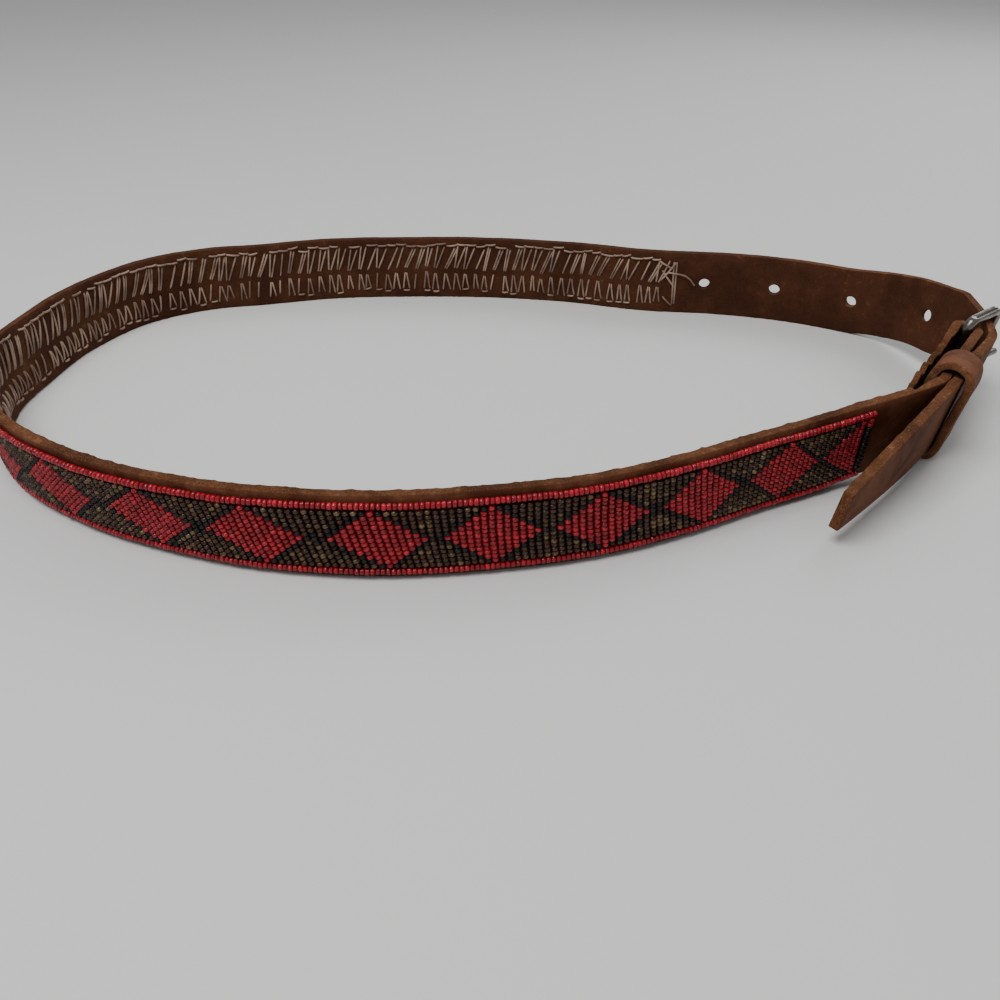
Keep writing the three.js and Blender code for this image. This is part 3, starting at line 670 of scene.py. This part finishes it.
for run, lean, red in zip(column_runs, column_leans, reds):
    double_chance = 0.45 if red == 0 else 0.15
    outline = 2 if rng.random() < double_chance else 1
    for high, off in zip(end_high, np.abs(np.arange(column_beads) - column_beads // 2)):
        kind = "red" if off < red / 2 else "black" if off < red / 2 + outline else "bronze"
        bow = column_bow * (1 - (high / field_half) ** 2)
        sewn[kind].append((run + lean * high / (2 * field_half) + bow, high, lean / (2 * field_half)))
for kind, finish, field_slot, field_seed in (
    ("red", red_glass, "red_beads", 33), ("black", black_glass, "bronze_beads", 35),
    ("bronze", bronze_glass, "bronze_beads", 36),
):
    field_runs, field_highs, field_leans = np.array(sewn[kind]).T
    field_runs = field_runs.clip(panel_from + bead_size * 1.4, panel_to - bead_size * 1.4)
    field = strung_beads(f"field_{kind}_beads", field_runs, field_highs, column_pitch, bead_length * 0.98,
                         along_belt=False, seed=field_seed, lean=field_leans)
    field.data.materials.append(finish)
    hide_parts("bead_field")


# Sewing thread
# Waxed pale thread that holds the beads, seen on the strap's inner face: a running line near the
# top, long slanted stitches to the middle, and short pairs of stitches below.
stitch_pitch = 0.0041
thread_half = 0.00038


def tubes(name, ways, radius, rounding=1, thick=None):
    """Round tubes through each list of places, in one mesh; thick scales the radius at each place."""
    curve = bpy.data.curves.new(name, "CURVE")
    curve.dimensions = "3D"
    curve.bevel_depth, curve.bevel_resolution, curve.use_fill_caps = radius, rounding, True
    for places in ways:
        spline = curve.splines.new("POLY")
        spline.points.add(len(places) - 1)
        spline.points.foreach_set("co", np.hstack([places, np.ones((len(places), 1))]).ravel())
        spline.use_smooth = True
        if thick is not None:
            spline.points.foreach_set("radius", thick)
    made = bpy.data.objects.new(name, curve)
    bpy.context.scene.collection.objects.link(made)
    only(made)
    bpy.ops.object.convert(target="MESH")
    made = bpy.context.object
    made.name = made.data.name = name
    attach(made, "root")
    return made


def stitch(start, end, lift=0.0):
    """One stitch on the inner face between two (run, high) places, sunk in at both ends."""
    share = np.linspace(0, 1, 7)
    runs = start[0] + (end[0] - start[0]) * share
    highs = start[1] + (end[1] - start[1]) * share
    rise = np.array([-0.0007, 0.0001, 0.00030, 0.00034, 0.00030, 0.0001, -0.0007]) + lift
    return on_strap(runs, highs, -(strap_thickness / 2 + rise))


top_line, middle_line, foot_line = 0.0100, -0.0010, -0.0098
rng = np.random.default_rng(5)
stitch_runs = np.arange(panel_from + 0.003, panel_to - 0.002, stitch_pitch)
stitch_runs = stitch_runs + rng.normal(0, 0.0004, len(stitch_runs))
inner_stitches = []
for run, next_run in zip(stitch_runs, stitch_runs[1:]):
    top = top_line + rng.normal(0, 0.0003)
    middle = middle_line + rng.normal(0, 0.0004)
    slant = rng.normal(0.0040, 0.0008)
    if rng.random() < 0.85:
        next_top = (next_run + 0.0007, top + rng.normal(0, 0.0004))
        inner_stitches.append(stitch((run + 0.0005, top), next_top, 0.0002))
    inner_stitches.append(stitch((run, middle), (run + slant, top - 0.0003)))
    if rng.random() < 0.75:
        second = rng.normal(0.0012, 0.0005) if rng.random() < 0.4 else slant - 0.0012
        inner_stitches.append(stitch((run - 0.0006, middle + 0.0004), (run + second, top - 0.0002), 0.0001))
    foot = foot_line + rng.normal(0, 0.0004)
    left_foot = (run - 0.0013 + rng.normal(0, 0.0003), foot)
    inner_stitches.append(stitch((run - 0.0002, middle - 0.0006), left_foot))
    if rng.random() < 0.8:
        right_foot = (run + 0.0014 + rng.normal(0, 0.0003), foot)
        inner_stitches.append(stitch((run + 0.0002, middle - 0.0008), right_foot))
    if rng.random() < 0.6:
        foot_end = (run + 0.0014, foot + rng.normal(0, 0.0002))
        inner_stitches.append(stitch((run - 0.0013, foot - 0.0001), foot_end, 0.0001))
sewing = tubes("sewing_thread", inner_stitches, thread_half)

waxed_thread, thread_tree, thread_shader = new_material("waxed_thread")
thread_place = node(thread_tree, "ShaderNodeTexCoord").outputs["Object"]
grime_and_groove = grainy(thread_tree, thread_place, 120.0, 4.0)
plies = grainy(thread_tree, thread_place, 2200.0, 2.0)
clean_mask = stepped(thread_tree, grime_and_groove, 0.38, 0.66)
thread_color = mixed(thread_tree, clean_mask, (0.150, 0.088, 0.060, 1), (0.320, 0.215, 0.158, 1))
thread_tree.links.new(thread_color, thread_shader.inputs["Base Color"])
thread_bump = node(thread_tree, "ShaderNodeBump", Strength=0.6, Distance=0.0002, Height=plies)
thread_tree.links.new(thread_bump.outputs["Normal"], thread_shader.inputs["Normal"])
thread_rough = sums(thread_tree, "ADD", sums(thread_tree, "MULTIPLY", plies, 0.3), 0.4)
thread_tree.links.new(thread_rough, thread_shader.inputs["Roughness"])
sewing.data.materials.append(waxed_thread)


# Thread ends
# Where the sewing ends near the first hole the thread is doubled, knotted and cut off with a
# loose tail.
end_stitches = (
    # start and end, each its run back from the panel's end and its height, then the lift
    ((0.0026, 0.0095), (0.0020, -0.0098), 0.0002),
    ((0.0014, 0.0098), (0.0012, -0.0100), 0.0001),
    ((0.0060, -0.0060), (0.0022, -0.0096), 0.0003),
    ((0.0068, 0.0050), (0.0015, -0.0020), 0.0004),
    ((0.0072, 0.0010), (0.0018, 0.0085), 0.0005),
    ((0.0085, 0.0092), (0.0030, 0.0060), 0.0004),
)
end_knots = [
    stitch((panel_to - start_back, start_high), (panel_to - end_back, end_high), lift)
    for (start_back, start_high), (end_back, end_high), lift in end_stitches
]
tail_runs = panel_to + np.array([-0.0060, -0.0040, -0.0020, 0.0000, 0.0024, 0.0046, 0.0064])
tail_highs = np.array([0.0036, 0.0046, 0.0042, 0.0040, 0.0034, 0.0018, -0.0006])
tail_lifts = np.array([0.0004, 0.0009, 0.0010, 0.0008, 0.0009, 0.0008, 0.0004])
end_knots.append(on_strap(tail_runs, tail_highs, -(strap_thickness / 2 + tail_lifts)))
knots = tubes("thread_ends", end_knots, thread_half)
knots.data.materials.append(waxed_thread)


# Buckle frame
# A cast and plated steel frame: a round heel bar under the fold, and a bar bent round the strap
# whose outer side has three ridges. It stands tilted outward, pushed up by the strap through it.
frame_half, corner_radius = 0.0148, 0.0032
heel_radius, bar_half_width = 0.00175, 0.0013
heel_from, heel_blend = 0.0034, 0.0022
groove_at, groove_spread, groove_depth = 0.36, 0.16, 0.00045
frame_corners = ((0, 1), (-frame_length, 1), (-frame_length, -1), (0, -1))


def on_bend(corner, angle):
    """A place on the bar's middle line, on the bend at this corner."""
    along, up = corner
    return (along - math.copysign(corner_radius, along + frame_length / 2) + corner_radius * math.cos(angle),
            up * (frame_half - corner_radius) + corner_radius * math.sin(angle))


def circle_step(angle, count):
    """Which of count even steps round a circle an angle falls on."""
    return np.rint(angle / (2 * math.pi) * count).astype(int) % count


frame_spots, frame_ways = [], []
for k, corner in enumerate(frame_corners):
    for angle in np.radians(90 * k + np.linspace(0, 90, 10)):
        frame_spots.append(on_bend(corner, angle))
        frame_ways.append(angle)
    next_way = math.radians(90 * (k + 1))
    start, stop = frame_spots[-1], on_bend(frame_corners[(k + 1) % 4], next_way)
    for share in np.linspace(0, 1, 9)[1:-1]:
        frame_spots.append((start[0] + (stop[0] - start[0]) * share, start[1] + (stop[1] - start[1]) * share))
        frame_ways.append(next_way)
frame_spots, frame_ways = np.array(frame_spots), np.array(frame_ways)
section_turn = np.linspace(0, 2 * math.pi, 36, endpoint=False)
square_side = np.sign(np.cos(section_turn)) * np.abs(np.cos(section_turn)) ** 0.75
square_rise = np.sign(np.sin(section_turn)) * np.abs(np.sin(section_turn)) ** 0.75
grooves = sum(np.exp(-((square_side - spot) / groove_spread) ** 2) for spot in (-groove_at, groove_at))
grooves = grooves * (square_rise > 0)
bpy.ops.object.select_all(action="DESELECT")
bpy.ops.mesh.primitive_torus_add(major_segments=len(frame_spots), minor_segments=len(section_turn),
                                 major_radius=1, minor_radius=0.25)
buckle = bpy.context.object
buckle.name = buckle.data.name = "ribbed_frame"
place = np.array([vertex.co[:] for vertex in buckle.data.vertices])
around = circle_step(np.arctan2(place[:, 1], place[:, 0]), len(frame_spots))
reach = np.hypot(place[:, 0], place[:, 1]) - 1
about = circle_step(np.arctan2(place[:, 2], reach), len(section_turn))
heel_share = np.clip((frame_spots[around, 0] + heel_from) / heel_blend, 0, 1)
heel_share = heel_share * heel_share * (3 - 2 * heel_share)
# The section starts at the outward reach, so its side and rise are read a quarter turn on.
turn_there = section_turn[about]
quarter = (about + len(section_turn) // 4) % len(section_turn)
side, rise, groove = -square_side[quarter], square_rise[quarter], grooves[quarter]
flat_side, flat_rise = side * bar_half_depth, rise * bar_half_width - groove * groove_depth
round_side, round_rise = np.sin(turn_there) * heel_radius, np.cos(turn_there) * heel_radius
out_off = flat_side * (1 - heel_share) + round_side * heel_share
rise_off = flat_rise * (1 - heel_share) + round_rise * heel_share
along = frame_spots[around, 0] + rise_off * np.cos(frame_ways[around])
high = frame_spots[around, 1] + rise_off * np.sin(frame_ways[around])
tilted = np.stack([along * math.cos(frame_tilt) + out_off * math.sin(frame_tilt),
                   -along * math.sin(frame_tilt) + out_off * math.cos(frame_tilt), high], axis=1)
buckle.data.vertices.foreach_set("co", from_heel(tilted).ravel())
buckle.data.update()
# Each point's share of a groove, kept so that the grooves can be coloured darker.
groove_darkening = buckle.data.attributes.new("groove", "FLOAT", "POINT")
groove_darkening.data.foreach_set("value", (groove * (1 - heel_share)).astype(np.float32))
only(buckle)
bpy.ops.object.mode_set(mode="EDIT")
bpy.ops.mesh.select_all(action="SELECT")
bpy.ops.mesh.normals_make_consistent(inside=False)
bpy.ops.object.mode_set(mode="OBJECT")
bpy.ops.object.shade_smooth_by_angle(angle=math.radians(60))

# Dull plate over steel, tarnished in clouds, and coloured darker in the grooves.
worn_plate, plate_tree, plate_shader = new_material("worn_plate")
plate_place = node(plate_tree, "ShaderNodeTexCoord").outputs["Object"]
tarnish = grainy(plate_tree, plate_place, 420.0, 5.0)
scuffs = grainy(plate_tree, plate_place, 2400.0, 3.0)
tarnish_mask = stepped(plate_tree, tarnish, 0.44, 0.70)
plate_color = mixed(plate_tree, tarnish_mask, (0.21, 0.195, 0.175, 1), (0.12, 0.10, 0.085, 1))
grime_and_groove = node(plate_tree, "ShaderNodeAttribute", {"attribute_name": "groove"}).outputs["Fac"]
groove_dark_mask = stepped(plate_tree, grime_and_groove, 0.15, 0.6)
plate_color = mixed(plate_tree, groove_dark_mask, plate_color, (0.040, 0.032, 0.026, 1))
plate_tree.links.new(plate_color, plate_shader.inputs["Base Color"])
plate_rough = sums(plate_tree, "ADD", sums(plate_tree, "MULTIPLY", tarnish, 0.22), 0.16)
plate_tree.links.new(plate_rough, plate_shader.inputs["Roughness"])
plate_bump = node(plate_tree, "ShaderNodeBump", Strength=0.10, Distance=0.0002, Height=scuffs)
plate_tree.links.new(plate_bump.outputs["Normal"], plate_shader.inputs["Normal"])
plate_shader.inputs["Metallic"].default_value = 1.0
buckle.data.materials.append(worn_plate)
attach(buckle, "root")
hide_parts("buckle_frame")


# Tongue
# A plated steel wire bent into an open ring round the heel bar, with its straight rod through the
# worn hole and its rounded end over the frame's outer bar.
tongue_half, ring_radius, tongue_tilt = 0.0012, 0.00325, -0.2826029
ring_angles = np.linspace(math.radians(50), 2 * math.pi + tongue_tilt, 33)
tongue_way = [(-ring_radius * math.sin(a), ring_radius * math.cos(a), 0) for a in ring_angles]
rod_length = np.linalg.norm(tongue_end - ring_end)
rod_unit = (tongue_end - ring_end) / rod_length
tongue_way += [tuple(ring_end + rod_unit * s) for s in np.linspace(0.002, rod_length - tongue_half, 8)]
tongue_way += [tuple(tongue_end - rod_unit * back) for back in (0.0007, 0.0003, 0.0001)]
tongue_thick = [0.55, 0.85] + [1.0] * (len(tongue_way) - 5) + [0.92, 0.72, 0.45]
tongue = tubes("tongue_wire", [from_heel(tongue_way)], tongue_half, rounding=5, thick=tongue_thick)
bpy.ops.object.shade_smooth_by_angle(angle=math.radians(50))
tongue.data.materials.append(worn_plate)
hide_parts("buckle_tongue")


# Keeper
# A closed band of smooth reddish leather round the near strap and the free end, pulled into an
# arch over their edges.
keeper_at, keeper_band, keeper_thickness = 0.033, 0.0115, 0.0025
keeper_room_out, keeper_room_up = 0.0113, 0.0299
keeper_outline = (
    (0, -0.36), (0, 0), (0, 0.34), (0.12, 0.475), (0.45, 0.53), (0.84, 0.48), (0.96, 0.36),
    (0.93, 0.1), (0.90, -0.2), (0.88, -0.4), (0.76, -0.495), (0.45, -0.505), (0.12, -0.48),
)
keeper_places = [(0, out * keeper_room_out, up * keeper_room_up) for out, up in keeper_outline]
keeper_line, _, _ = smooth_run(keeper_places, shares=np.linspace(0, 1, 121), closed=True)
keeper_spots = from_heel(keeper_line + np.array([keeper_at, 0, 0]))
keeper_side = np.tile(heel_turn @ np.array([1.0, 0, 0]), (len(keeper_spots), 1))
keeper_run = np.linspace(0, 0.08, len(keeper_spots))
keeper_low = -keeper_band / 2 + 0.0001 * np.sin(keeper_run * 2 * math.pi / 0.02)
keeper_high = keeper_band / 2 + 0.0001 * np.sin(keeper_run * 2 * math.pi / 0.016)
keeper = strip_of_leather("keeper_band", keeper_spots, keeper_side, keeper_low, keeper_high, rows=8)
only(keeper)
bpy.ops.object.mode_set(mode="EDIT")
bpy.ops.mesh.select_all(action="SELECT")
bpy.ops.mesh.remove_doubles(threshold=0.00002)
bpy.ops.mesh.normals_make_consistent(inside=False)
bpy.ops.object.mode_set(mode="OBJECT")
keeper_face = leather(
    "keeper_face", dark=(0.070, 0.023, 0.010), middle=(0.140, 0.050, 0.022), pale=(0.205, 0.088, 0.044),
    grain_size=1100.0, fibre=0.15, rough=0.52, relief=0.25)
keeper_edge = leather(
    "keeper_edge", dark=(0.070, 0.024, 0.010), middle=(0.150, 0.060, 0.026), pale=(0.270, 0.130, 0.064),
    grain_size=1200.0, fibre=0.8, rough=0.6, relief=0.8)
make_leather(keeper, (keeper_face, flesh_side, keeper_edge), keeper_thickness, rounding=3)
bpy.ops.object.shade_smooth_by_angle(angle=math.radians(42))
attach(keeper, "root")
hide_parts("keeper")
